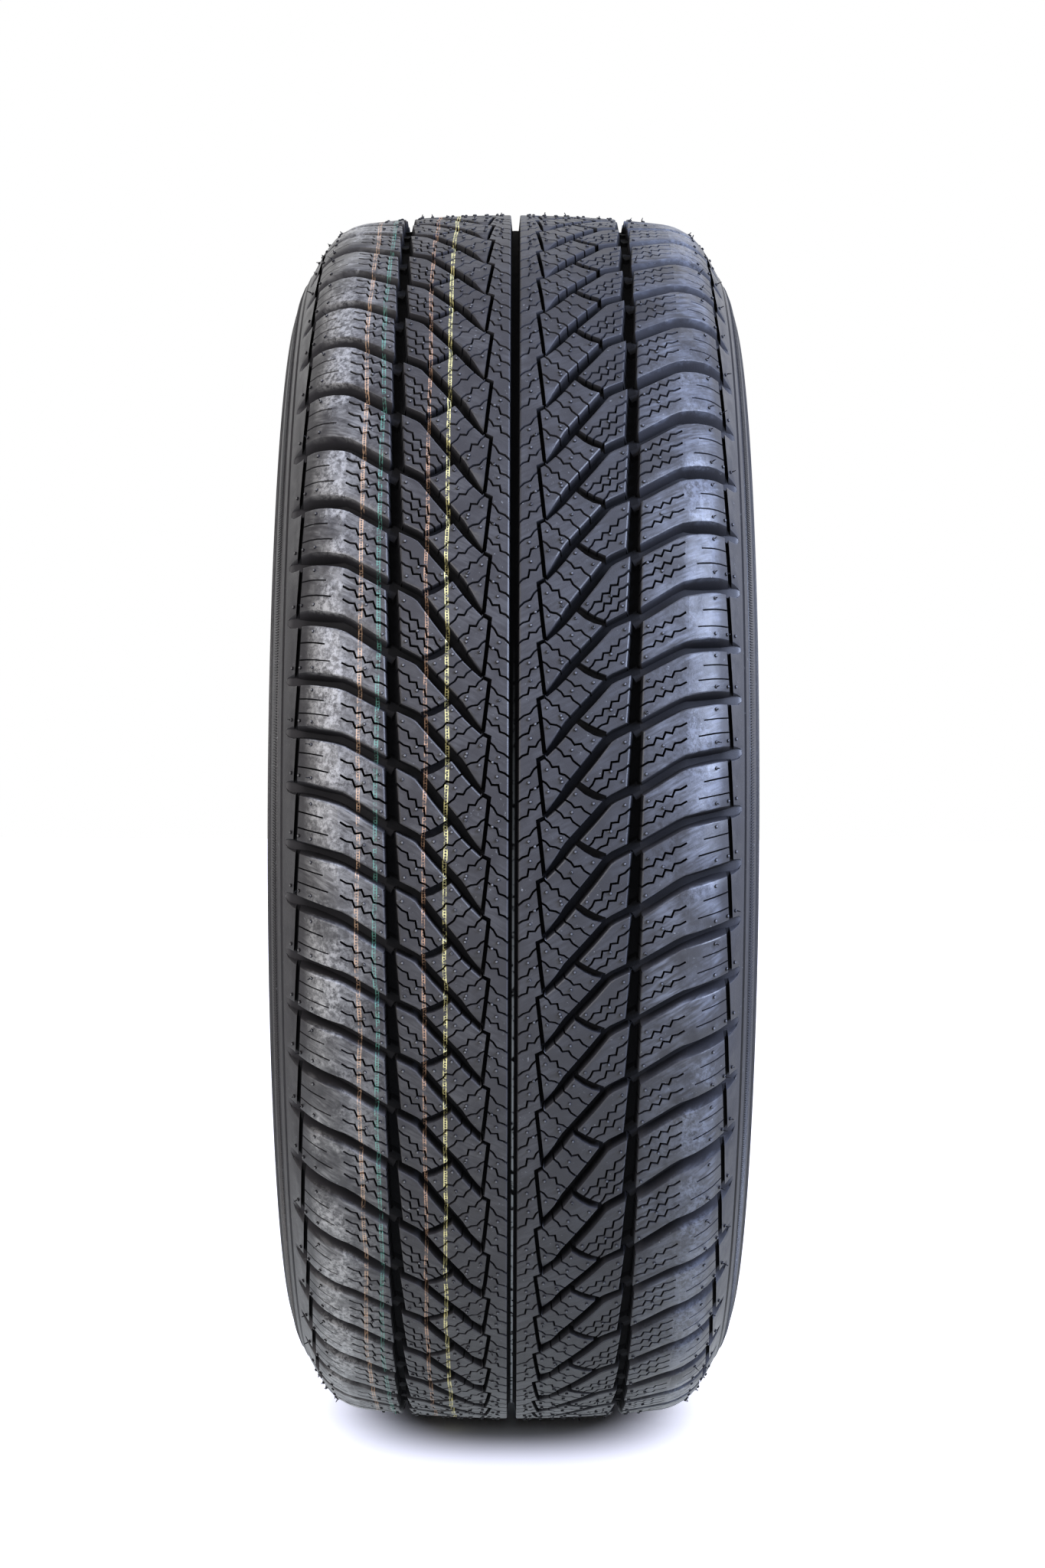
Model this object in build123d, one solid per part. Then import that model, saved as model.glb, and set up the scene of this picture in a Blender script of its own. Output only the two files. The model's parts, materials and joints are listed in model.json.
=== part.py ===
from build123d import *
import os
from math import asin, cos, degrees, pi, radians, sin, sqrt

# Car tyre, 225/45 R 17, moulded as one piece, standing upright on its tread.
# Frame: origin at the wheel centre, +Y along the spin axis, +Z up, +X the way it rolls forward.
# Sizes are in millimetres. The section is drawn as (radius, lateral) pairs, for one half.

# Overall sizes
outer_diameter = 634.3
section_width = 225.0
bead_diameter = 436.6
rim_width = 190.5

# Crown and shoulder
crown_radius = 650.0
crown_half_width = 76.0
shoulder_radius = 29.0
shoulder_turn = 58.0

# Sidewall and bead: heights are measured up from the bead seat
widest_height = 43.7
flange_height = 17.5
flange_overhang = 9.5
bead_height = 22.0
bead_face_height = 7.5
bead_seat_width = 17.0
heel_bevel = 3.0
toe_height = 3.0
upper_fullness = 1.5
lower_fullness = 2.0
sidewall_bend_share = 0.6

# Rubber thickness
under_tread = 9.0
sidewall_gauge = 8.0

# Circumferential grooves
tread_depth = 8.0
centre_groove_width = 4.8
shoulder_groove_offset = 54.0
shoulder_groove_width = 5.8
groove_wall_angle = 5.0

# Pitches: four lengths in a mixed order, so that the tread does not hum on one note
pitch_order = (
    "XMXXMMSSMSMSSLMLXXX"
    "LXXMLSMLXXLXMSLXXXMLLX"
    "XSMXLMSXXLMSXLXXXMSLMXX"
)
pitch_ratio = {"S": 1.0, "M": 1.128, "L": 1.243, "X": 1.369}
first_crossing_arc = -271.2
left_side_lag = 17.0

# Angled grooves: each crosses the shoulder groove, and its rises and widths are in pitches
cross_groove_depth = 7.0
lateral_rise = 0.475
lateral_outer_rise = 0.265
lateral_width = 0.24
groove_runout_reach = 4.7
groove_runout_drop = 7.6
diagonal_start_rise = 0.09
diagonal_bend_offset = 41.6
diagonal_bend_drop = 0.165
diagonal_tip_offset = 14.0
diagonal_tip_drop = 1.41
diagonal_width = 0.2
diagonal_tip_width = 0.145

# Resting patch: how far the rubber gives under the tyre's own weight
contact_give = 2.0

# The ring is drawn in equal straight runs, which keeps every face of the tread flat
ring_runs = 40
bore_stock = 2.0
shoulder_shares = (0, 0.5, 1)
cutter_reach = 80.0

outer_radius = outer_diameter / 2
half_width = section_width / 2
bead_radius = bead_diameter / 2
seat_half_width = rim_width / 2
widest_radius = bead_radius + widest_height
flange_radius = bead_radius + flange_height
flange_lateral = seat_half_width + flange_overhang
toe_lateral = seat_half_width - heel_bevel - bead_seat_width
liner_radius = outer_radius - tread_depth - under_tread
run_half_angle = pi / ring_runs
corner_radius = 2 * outer_radius / (1 + cos(run_half_angle))
run_radius = corner_radius * cos(run_half_angle)


def crown_point(lateral):
    """Point of the crown arc at a lateral place."""
    return Vector(outer_radius - crown_radius + sqrt(crown_radius**2 - lateral**2), lateral)


def shoulder_point(share):
    """Point of the shoulder arc, from the crown's edge at 0 to the top of the sidewall at 1."""
    start = asin(crown_half_width / crown_radius)
    angle = start + (radians(shoulder_turn) - start) * share
    centre = crown_point(crown_half_width) - Vector(cos(start), sin(start)) * shoulder_radius
    return centre + Vector(cos(angle), sin(angle)) * shoulder_radius


def upper_sidewall(share):
    """Point of the outer face, from the widest place at 0 to the shoulder at 1."""
    edge = shoulder_point(1)
    radius = widest_radius + (edge.X - widest_radius) * share
    return Vector(radius, half_width - (half_width - edge.Y) * share**upper_fullness)


def lower_sidewall(share):
    """Point of the outer face, from the widest place at 0 to the rim flange at 1."""
    radius = widest_radius + (flange_radius - widest_radius) * share
    return Vector(radius, half_width - (half_width - flange_lateral) * share**lower_fullness)


def groove_section(lateral, width):
    """Section of a circumferential groove, from its inner edge to its outer edge."""
    floor_radius = crown_point(lateral).X - tread_depth
    floor_half = width / 2 - tread_depth * sin(radians(groove_wall_angle))
    return [
        crown_point(lateral - width / 2),
        Vector(floor_radius, lateral - floor_half),
        Vector(floor_radius, lateral + floor_half),
        crown_point(lateral + width / 2),
    ]


def half_section():
    """Closed half of the rubber's section, from the middle plane out round one bead and back."""
    inward = Vector(0, sidewall_gauge)
    bead_share = (widest_height - bead_height) / (widest_height - flange_height)
    seat_radius = bead_radius - bore_stock
    outline = [crown_point(0) - Vector(tread_depth, 0)]
    outline += groove_section(0, centre_groove_width)[2:]
    outline += groove_section(shoulder_groove_offset, shoulder_groove_width)
    outline += [shoulder_point(share) for share in shoulder_shares]
    outline += [upper_sidewall(share) for share in (sidewall_bend_share, 0)]
    outline += [lower_sidewall(share) for share in (sidewall_bend_share, 1)]
    outline += [
        Vector(bead_radius + bead_face_height, seat_half_width),
        Vector(seat_radius, seat_half_width),
        Vector(seat_radius, toe_lateral),
        Vector(bead_radius + toe_height, toe_lateral),
        lower_sidewall(bead_share) - inward,
        upper_sidewall(0) - inward,
        upper_sidewall(sidewall_bend_share) - inward,
        Vector(liner_radius, crown_half_width),
        Vector(liner_radius, 0),
    ]
    return make_face(Polyline(outline, close=True))


def ring_path():
    """Straight runs round the wheel, whose corners and middles straddle the true circle."""
    points = [Vector(run_radius, 0, 0)]
    for count in range(ring_runs):
        angle = run_half_angle * (2 * count + 1)
        points.append(Vector(corner_radius * cos(angle), 0, corner_radius * sin(angle)))
    return Wire.make_polygon(points, close=True)


def bead_bore():
    """Room for the rim: both round bead seats, with a bevel at each heel."""
    heel_radius = bead_radius + heel_bevel
    outline = [
        Vector(0, 0),
        Vector(bead_radius, 0),
        Vector(bead_radius, seat_half_width - heel_bevel),
        Vector(heel_radius, seat_half_width),
        Vector(0, seat_half_width),
    ]
    half = revolve(make_face(Polyline(outline, close=True)), axis=Axis.Y)
    return half + mirror(half, about=Plane.XZ)


def carcass():
    """The tyre with its circumferential grooves and bead seats, before the angled grooves."""
    half = half_section()
    section = Pos(run_radius - outer_radius, 0, 0) * (half + mirror(half, about=Plane.XZ))
    ring = sweep(section, path=ring_path(), transition=Transition.RIGHT)
    return ring - bead_bore()


pitch_total = sum(pitch_ratio[kind] for kind in pitch_order)
pitch_starts = [sum(pitch_ratio[kind] for kind in pitch_order[:count]) for count in range(len(pitch_order))]


def tread_angle(place, side):
    """Angle round the tyre, in degrees, at a place along one half's tread, counted in pitches."""
    turns, rest = divmod(place, len(pitch_order))
    whole = int(rest)
    along = pitch_starts[whole] + (rest - whole) * pitch_ratio[pitch_order[whole]]
    start = first_crossing_arc if side > 0 else first_crossing_arc - left_side_lag
    return degrees(start / outer_radius) + 360 * (turns + along / pitch_total)


def groove_cutter(crossing, side, course, floor):
    """Cutter for one angled groove.

    The course lists lateral place, rise and width along the groove, in pitches from its crossing.
    The floor lists radius and lateral place across the tread.
    """
    edges = [(lateral, rise + width / 2) for lateral, rise, width in course]
    edges += [(lateral, rise - width / 2) for lateral, rise, width in reversed(course)]
    angles = [tread_angle(crossing + rise, side) for lateral, rise in edges]
    middle = (min(angles) + max(angles)) / 2
    outline = []
    for (lateral, rise), angle in zip(edges, angles):
        outline.append(Vector(lateral * side, outer_radius * sin(radians(angle - middle))))
    top = outer_radius + tread_depth
    tread_plane = Plane(origin=(0, 0, 0), x_dir=(0, 1, 0), z_dir=(1, 0, 0))
    prism = extrude(tread_plane * make_face(Polyline(outline, close=True)), amount=top, dir=(1, 0, 0))
    depth_line = [Vector(radius, lateral * side) for radius, lateral in floor]
    depth_line += [Vector(top, depth_line[-1].Y), Vector(top, depth_line[0].Y)]
    room = extrude(make_face(Polyline(depth_line, close=True)), amount=cutter_reach, both=True)
    return Rot(0, -middle, 0) * (prism & room)


def cross_groove_floor(lateral):
    """Radius and lateral place of an angled groove's floor under the crown."""
    return (crown_point(lateral).X - cross_groove_depth, lateral)


def lateral_groove(crossing, side):
    """Groove across one shoulder, from the shoulder groove out to where it runs out on the sidewall."""
    edge = shoulder_point(1)
    end = edge.Y + groove_runout_reach
    course = [
        (shoulder_groove_offset, 0, lateral_width),
        (crown_half_width, lateral_rise, lateral_width),
        (end, lateral_rise + lateral_outer_rise, lateral_width),
    ]
    floor = [cross_groove_floor(shoulder_groove_offset), cross_groove_floor(crown_half_width)]
    floor.append((edge.X - groove_runout_drop, end))
    return groove_cutter(crossing, side, course, floor)


def diagonal_groove(crossing, side):
    """Groove from the shoulder groove in towards the centre rib, which sweeps back as it goes."""
    course = [
        (shoulder_groove_offset, diagonal_start_rise, diagonal_width),
        (diagonal_bend_offset, -diagonal_bend_drop, diagonal_width),
        (diagonal_tip_offset, -diagonal_tip_drop, diagonal_tip_width),
    ]
    floor = [cross_groove_floor(diagonal_tip_offset), cross_groove_floor(shoulder_groove_offset)]
    return groove_cutter(crossing, side, course, floor)


def angled_grooves():
    """Every angled groove, with the left half's a part of a pitch behind the right half's."""
    cutters = []
    for side in (1, -1):
        for crossing in range(len(pitch_order)):
            cutters.append(lateral_groove(crossing, side))
            cutters.append(diagonal_groove(crossing, side))
    return cutters


def ground():
    """What the tyre presses flat against: a block up to the floor it stands on."""
    ground_thickness = outer_radius
    centre_drop = outer_radius - contact_give + ground_thickness / 2
    return Pos(0, 0, -centre_drop) * Box(outer_diameter, section_width, ground_thickness)


tyre = carcass() - angled_grooves() - ground()

os.makedirs("parts", exist_ok=True)
export_step(tyre.solid(), "parts/tyre.step")
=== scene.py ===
import json
import math
import random
from collections import namedtuple

import bmesh
import bpy
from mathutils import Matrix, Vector
from mathutils.geometry import delaunay_2d_cdt, intersect_point_line


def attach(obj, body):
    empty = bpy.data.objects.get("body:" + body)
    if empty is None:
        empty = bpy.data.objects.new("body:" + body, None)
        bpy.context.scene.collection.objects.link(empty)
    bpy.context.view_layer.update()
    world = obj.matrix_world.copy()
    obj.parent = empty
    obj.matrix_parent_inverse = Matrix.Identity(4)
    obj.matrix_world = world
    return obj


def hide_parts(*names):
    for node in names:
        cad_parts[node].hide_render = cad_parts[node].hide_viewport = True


# A car tyre that stands on a pale floor, seen straight at its tread.
# Frame: origin at the wheel centre, +Y along the spin axis, +Z up.
# Sizes are in millimetres, and MM turns them into metres where a mesh is made.
# The tread is drawn on a flat sheet, for the half at +Y. "Across" is the lateral place from the
# middle plane. "Along" runs up the tread, at the short pitch, from where an angled groove crosses
# the shoulder groove. The sheet of one pitch is then wrapped round the wheel, pitch after pitch.

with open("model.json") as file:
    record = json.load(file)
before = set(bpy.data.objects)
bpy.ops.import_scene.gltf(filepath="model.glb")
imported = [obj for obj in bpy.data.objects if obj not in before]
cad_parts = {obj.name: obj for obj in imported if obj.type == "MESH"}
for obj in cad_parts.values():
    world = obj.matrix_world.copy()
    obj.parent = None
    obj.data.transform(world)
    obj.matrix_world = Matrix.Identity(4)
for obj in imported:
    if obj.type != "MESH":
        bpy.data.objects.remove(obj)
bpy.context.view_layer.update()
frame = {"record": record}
mounts = {mount["name"]: mount for mount in frame["record"]["mounts"]}

MM = 0.001

# Section: crown, shoulder and sidewall, and the step over which the outer face's lean is taken
outer_radius = 317.15
half_width = 112.5
crown_radius = 650.0
crown_half_width = 76.0
shoulder_radius = 29.0
shoulder_turn = math.radians(58.0)
bead_radius = mounts["bead_seat"]["dims"]["r_mm"]
widest_height = 43.7
widest_radius = bead_radius + widest_height
sidewall_fullness = 1.5
lean_step = 0.1
floor_height = mounts["contact_patch"]["pos_m"][2] / MM

crown_edge_angle = math.asin(crown_half_width / crown_radius)
crown_edge_radius = outer_radius - crown_radius + crown_radius * math.cos(crown_edge_angle)
shoulder_centre_radius = crown_edge_radius - shoulder_radius * math.cos(crown_edge_angle)
shoulder_centre_across = crown_half_width - shoulder_radius * math.sin(crown_edge_angle)
shoulder_end_radius = shoulder_centre_radius + shoulder_radius * math.cos(shoulder_turn)
shoulder_end_across = shoulder_centre_across + shoulder_radius * math.sin(shoulder_turn)

# Pitches: four lengths in a mixed order, the left half a part of a pitch behind the right half
pitch_order = (
    "XMXXMMSSMSMSSLMLXXX"
    "LXXMLSMLXXLXMSLXXXMLLX"
    "XSMXLMSXXLMSXLXXXMSLMXX"
)
pitch_ratio = {"S": 1.0, "M": 1.128, "L": 1.243, "X": 1.369}
short_pitch = 26.3
first_crossing_arc = -271.2
left_side_lag = 17.0
pitch_count = len(pitch_order)
pitch_total = sum(pitch_ratio[kind] for kind in pitch_order)
pitch_starts = [sum(pitch_ratio[kind] for kind in pitch_order[:count]) for count in range(pitch_count)]

# Cuts in the tread: their depths and widths, and the bevel along a groove's edges
ring_groove_depth = 8.0
angled_groove_depth = 6.4
runout_across = 102.6
slit_depth = 6.0
shoulder_slit_depth = 3.6
sipe_depth = 5.0
sipe_width = 0.95
outer_sipe_width = 0.68
sipe_floor_share = 0.25
sipe_swing = 0.95
sipe_step = 2.4
link_depth = 4.5
edge_bevel = 0.55
edge_drop = 0.3

# Mesh of the tread: the spacing of its points, its outer edge and its seam in the middle groove
longest_edge = 8.0
point_spacing = 6.5
point_clearance = 1.9
tread_edge_across = 103.0
tread_edge_along = 22.0
edge_steps = 3
seam_across = 1.0
shoulder_lines = (79.0, 84.0, 88.5, 92.5, 99.6)
hull_triangles = 0
same_point = 1e-4

# How far outlines and loose points go beyond one pitch, and how far a sharp corner may push a mitre
outline_pitches = 3
outline_reach = outline_pitches * short_pitch
grid_reach = 2 * short_pitch
mitre_limit = 0.5
foot_mitre_limit = 0.6

# Levels of the tread, from the block tops down, and which one wins where outlines overlap:
# an angled groove crosses the shoulder groove as a low bar
TOP, SIPE, SLIT, ANGLED, RING = range(5)
level_rank = {TOP: 0, SIPE: 1, SLIT: 2, RING: 3, ANGLED: 4}


def outer_face(across):
    """Radius of the outer face at a lateral place, from the middle plane to the widest place."""
    place = abs(across)
    if place <= crown_half_width:
        return outer_radius - crown_radius + math.sqrt(crown_radius**2 - place**2)
    if place <= shoulder_end_across:
        past_centre = place - shoulder_centre_across
        return shoulder_centre_radius + math.sqrt(shoulder_radius**2 - past_centre**2)
    share = ((half_width - place) / (half_width - shoulder_end_across)) ** (1 / sidewall_fullness)
    return widest_radius + (shoulder_end_radius - widest_radius) * share


def face_change(across):
    """Change of the outer face's radius over one small step out to a lateral place."""
    return outer_face(across) - outer_face(across - lean_step)


def upright_share(across):
    """Share of a radial depth that lies square to the outer face, which leans on the shoulder."""
    return lean_step / math.hypot(lean_step, face_change(across))


def angled_depth(across):
    """Depth of an angled groove: even under the crown, then running out on the shoulder."""
    if across <= crown_half_width:
        return angled_groove_depth
    start = outer_face(crown_half_width) - angled_groove_depth
    share = (across - crown_half_width) / (runout_across - crown_half_width)
    return max(outer_face(across) - start - (outer_face(runout_across) - start) * share, 0.0)


def tread_angle(place, lag):
    """Angle round the tyre at a place along the tread, counted in pitches."""
    turns, rest = divmod(place, pitch_count)
    whole = int(rest)
    gone = pitch_starts[whole] + (rest - whole) * pitch_ratio[pitch_order[whole]]
    return (first_crossing_arc - lag) / outer_radius + math.tau * (turns + gone / pitch_total)


def standing(across, angle, radius):
    """Point in the row frame, flattened where the tyre rests on the floor."""
    height = max(radius * math.sin(angle), floor_height)
    return (radius * math.cos(angle) * MM, across * MM, height * MM)


def wrapped(across, place, radius, lag):
    """Point in the row frame at a place along the tread, counted in pitches."""
    return standing(across, tread_angle(place, lag), radius)


# Outlines on the flat sheet

def resampled(points, closed=False):
    """The same line with its long runs divided."""
    result = []
    ends = points[1:] + points[:1] if closed else points[1:]
    for start, end in zip(points, ends):
        steps = max(1, math.ceil((end - start).length / longest_edge))
        result += [start.lerp(end, step / steps) for step in range(steps)]
    return result if closed else result + [points[-1]]


def band(path, spare=0.0):
    """Closed outline of a strip whose path lists across, along and width."""
    centre = [Vector(point[:2]) for point in path]
    runs = [(after - before).normalized() for before, after in zip(centre, centre[1:])]
    left, right = [], []
    for index, point in enumerate(centre):
        before = runs[max(index - 1, 0)].orthogonal()
        after = runs[min(index, len(runs) - 1)].orthogonal()
        mitre = (before + after).normalized()
        half = path[index][2] / 2 + spare
        offset = mitre * half / max(mitre.dot(after), mitre_limit)
        left.append(point + offset)
        right.append(point - offset)
    return resampled(left + right[::-1], closed=True)


def zigzag(start, end, lead):
    """Centre line of a sipe, straight at both ends, with sideways steps between them."""
    start = Vector(start)
    run = Vector(end) - start
    heading = run.normalized()
    middle = run.length - 2 * lead
    steps = max(2, round(middle / sipe_step))
    points = [start]
    for step in range(steps + 1):
        swing = 0 if step in (0, steps) else sipe_swing * (-1) ** step
        points.append(start + heading * (lead + middle * step / steps) + heading.orthogonal() * swing)
    return points + [Vector(end)]


def moved(path, pitches):
    """The same path, some pitches further along."""
    return [(point[0], point[1] + pitches * short_pitch, *point[2:]) for point in path]


# Paths of the tread's features: across, along, width
diagonal_path = [
    (55.5, 3.2, 4.3),
    (44.5, -2.2, 4.3),
    (42.0, -3.8, 4.3),
    (40.3, -5.7, 4.4),
    (35.0, -12.1, 4.6),
    (24.4, -24.3, 4.6),
    (20.7, -29.4, 4.0),
    (17.3, -33.6, 3.1),
    (13.8, -37.4, 2.2),
]
lateral_path = [
    (53.0, -0.5, 5.5),
    (73.5, 11.6, 5.6),
    (77.0, 13.1, 6.0),
    (90.0, 16.5, 6.3),
    (97.6, 18.2, 6.3),
    (99.8, 19.1, 5.6),
    (101.3, 20.2, 3.6),
    (102.0, 21.0, 1.0),
]
saw_tooth_path = [(14.0, -11.4, 1.9), (10.8, -13.0, 1.9), (13.6, -37.0, 1.9)]
link_path = [(40.7, -2.7, 3.0), (36.0, -1.2, 3.5), (32.3, 0.7, 3.4), (27.3, 4.2, 2.8)]
shoulder_slit_path = [(97.6, 19.0, 1.9), (96.2, 43.0, 1.9)]
centre_groove_half = 2.4
shoulder_groove_inner = ((50.0, 2.9), (51.9, 25.3))
shoulder_groove_outer = ((56.5, 4.6), (57.5, 25.4))
border_start = [(seam_across, -46.5), (10.8, -39.3)]

# Wall draft of each kind of groove, and how much more a wall leans that faces up the tread
centre_draft = 0.8
shoulder_draft = 1.2
diagonal_draft = 0.6
diagonal_lean = 0.4
lateral_draft = 1.2
lateral_lean = 0.3
slit_draft = 0.15

# How much shade is painted into each kind of cut for its depth: narrow ones are soon painted black, and
# wide ones stay near the rubber's colour
ring_shade = 1.0
diagonal_shade = 1.15
lateral_shade = 0.48
link_shade = 1.5
slit_shade = 2.6
# Share of a wedge's chamfer drop that paints shade down towards its tip
tip_shade = 0.3

# Chamfer at the tip of each wedge beside the rib: its crease, and how steeply it falls towards the tip
tip_crease = ((12.55, -28.3), (20.3, -28.3))
tip_fall = 0.32

# Sipes: start, end and the straight lead at each end
rib_sipes = [
    ((2.0, -22.7), (11.2, -14.9), 3.2),
    ((2.0, -30.7), (11.9, -23.0), 2.4),
    ((2.0, -39.2), (12.7, -30.2), 2.4),
]
middle_sipes = [
    ((22.6, -3.1), (34.0, -9.9), 3.2),
    ((18.0, -7.4), (29.2, -15.4), 3.6),
    ((13.4, -12.0), (25.0, -20.9), 3.0),
    ((12.2, -21.3), (20.9, -26.0), 2.4),
]
# Blocks beside the shoulder groove have two sipes at the two shorter pitches, and otherwise three
long_pitches = "LX"
two_inner_sipes = [((51.9, 19.5), (32.2, 0.9), 3.6), ((51.5, 12.0), (36.0, -0.6), 3.6)]
three_inner_sipes = [
    ((51.9, 19.9), (31.8, 1.3), 3.6),
    ((51.7, 14.6), (34.8, -0.2), 3.4),
    ((51.4, 9.4), (39.4, -1.8), 3.0),
]
two_shoulder_alongs = (11.0, 17.9)
three_shoulder_alongs = (10.6, 16.0, 21.4)
shoulder_sipe_ends = ((56.4, 0.0), (76.8, 11.8))
shoulder_sipe_lead = 3.4
outer_sipes = [((82.0, 23.8), (96.9, 27.4)), ((84.4, 31.3), (96.6, 34.3))]


def raised(ends, along=0.0):
    """Both ends of a line, some way up the block."""
    return [Vector((across, rise + along)) for across, rise in ends]


def sipe_lines(kind):
    """Centre lines of one pitch's sipes: zigzags, with short straight ones on the outer shoulder."""
    long = kind in long_pitches
    inner_sipes = three_inner_sipes if long else two_inner_sipes
    lines = [zigzag(start, end, lead) for start, end, lead in rib_sipes + middle_sipes + inner_sipes]
    for along in three_shoulder_alongs if long else two_shoulder_alongs:
        lines.append(zigzag(*raised(shoulder_sipe_ends, along), shoulder_sipe_lead))
    return lines + [raised(ends) for ends in outer_sipes]


def groove_edge(points, push):
    """One saw-toothed edge of the shoulder groove, beside a few pitches."""
    pitches = range(-outline_pitches, outline_pitches + 1)
    edge = [point for pitch in pitches for point in moved(points, pitch)]
    return [Vector((across + push, along)) for across, along in edge]


def shoulder_groove_outline(spare):
    """Shoulder groove beside a few pitches."""
    inner = groove_edge(shoulder_groove_inner, -spare)
    outer = groove_edge(shoulder_groove_outer, spare)
    return resampled(inner + outer[::-1], closed=True)


def across_at(path, along):
    """Lateral place of a path, which falls down the tread, at a place along the tread."""
    for start, end in zip(path, path[1:]):
        if end[1] <= along <= start[1]:
            share = (start[1] - along) / (start[1] - end[1])
            return start[0] + (end[0] - start[0]) * share
    return 0.0


def tip_drop(point):
    """How far the chamfer of a wedge's tip lies below the crown at a point, or 0 outside it."""
    crease, tip_end = tip_crease[0][1], saw_tooth_path[-1][1]
    if not tip_end <= point.y < crease:
        return 0.0
    inside = across_at(saw_tooth_path, point.y) < point.x < across_at(diagonal_path, point.y)
    return (crease - point.y) * tip_fall if inside else 0.0


def border_line(pitches):
    """Lower border of one pitch's sheet: along the grooves, where it leaves every block whole."""
    path = border_start + [point[:2] for point in diagonal_path[:0:-1]]
    path += [point[:2] for point in lateral_path[1:]]
    path.append((tread_edge_across, tread_edge_along))
    return resampled([Vector(point) for point in moved(path, pitches)])


def sheet_outline():
    """Closed border of one pitch's sheet, with equal steps at its outer edge and at the seam."""
    lower, upper = border_line(0), border_line(1)
    outer_edge = [lower[-1].lerp(upper[-1], step / edge_steps) for step in range(1, edge_steps)]
    seam = [upper[0].lerp(lower[0], step / edge_steps) for step in range(1, edge_steps)]
    return lower + outer_edge + upper[::-1] + seam


# One outline on the sheet: its level, depth, wall draft and lean, how much shade is painted into it for
# its depth and, for a sipe, its centre line
feature_parts = "level outline depth draft lean shade centre"
Feature = namedtuple("Feature", feature_parts, defaults=(0.0, 0.0, 0.0, 1.0, None))
angled_grooves = [
    (diagonal_path, diagonal_draft, diagonal_lean, diagonal_shade),
    (lateral_path, lateral_draft, lateral_lean, lateral_shade),
]


def grooves(spare):
    """Every groove that meets one pitch's sheet."""
    low, high = -outline_reach, outline_reach
    inner, outer = -seam_across, centre_groove_half + spare
    corners = [(inner, low), (outer, low), (outer, high), (inner, high)]
    centre_groove = resampled([Vector(corner) for corner in corners], closed=True)
    rings = [(centre_groove, centre_draft), (shoulder_groove_outline(spare), shoulder_draft)]
    features = []
    for outline, draft in rings:
        features.append(Feature(RING, outline, ring_groove_depth, draft, shade=ring_shade))
    for pitch in (0, 1):
        for path, *wall in angled_grooves:
            outline = band(moved(path, pitch), spare)
            features.append(Feature(ANGLED, outline, angled_groove_depth, *wall))
    return features


def sheet_features(kind):
    """The sheet's border, then all that is cut into one pitch, then the bevels beside the grooves."""
    features = [Feature(TOP, sheet_outline())] + grooves(0.0)
    slits = [(moved(saw_tooth_path, pitch), slit_depth, slit_shade) for pitch in (-1, 0, 1)]
    slits.append((link_path, link_depth, link_shade))
    slits.append((shoulder_slit_path, shoulder_slit_depth, slit_shade))
    for path, depth, shade in slits:
        features.append(Feature(SLIT, band(path), depth, slit_draft, shade=shade))
    for centre in sipe_lines(kind):
        width = outer_sipe_width if len(centre) == 2 else sipe_width
        path = [(point.x, point.y, width) for point in centre]
        features.append(Feature(SIPE, band(path), sipe_depth, shade=slit_shade, centre=centre))
    return features + [Feature(TOP, groove.outline) for groove in grooves(edge_bevel)]


def counterclockwise(outline):
    """The outline, turned round if it runs clockwise."""
    area = sum(a.cross(b) for a, b in zip(outline, outline[1:] + outline[:1]))
    return outline if area > 0 else outline[::-1]


def foot_on(point, start, end):
    """Nearest point of a segment."""
    foot, share = intersect_point_line(point, start, end)
    if share < 0:
        return start
    return end if share > 1 else foot.to_2d()


def distance_to(point, segments):
    """Distance from a point to the nearest of some segments."""
    return min((foot_on(point, start, end) - point).length for start, end in segments)


def free_points(segments):
    """Points on a loose grid, clear of every outline, so that the faces follow the tread's curve."""
    points = []
    row = 0
    along = -grid_reach
    while along < grid_reach:
        across = point_spacing * (1 + row % 2) / 2
        while across < tread_edge_across:
            point = Vector((across, along))
            if distance_to(point, segments) > point_clearance:
                points.append(point)
            across += point_spacing
        along += point_spacing * math.sqrt(3) / 2
        row += 1
    return points


def triangulated(features):
    """Triangles of the sheet, each with the features that it lies in."""
    points, edges, faces = [], [], []
    for feature in features:
        first = len(points)
        points += counterclockwise(feature.outline)
        faces.append(list(range(first, len(points))))
    lines = [((across, -outline_reach), (across, outline_reach)) for across in shoulder_lines]
    for start, end in lines + [tip_crease]:
        edges.append((len(points), len(points) + 1))
        points += [Vector(start), Vector(end)]
    segments = []
    for face in faces:
        segments += [(points[face[index - 1]], points[face[index]]) for index in range(len(face))]
    points += free_points(segments)
    result = delaunay_2d_cdt(points, edges, faces, hull_triangles, same_point)
    flat, _, triangles, _, _, owners = result
    return flat, triangles, owners


def sipe_floor_point(point, centre):
    """Foot of a sipe's wall: it leans in towards the centre line."""
    feet = [foot_on(point, start, end) for start, end in zip(centre, centre[1:])]
    nearest = min(feet, key=lambda foot: (foot - point).length)
    return nearest.lerp(point, sipe_floor_share)


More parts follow.
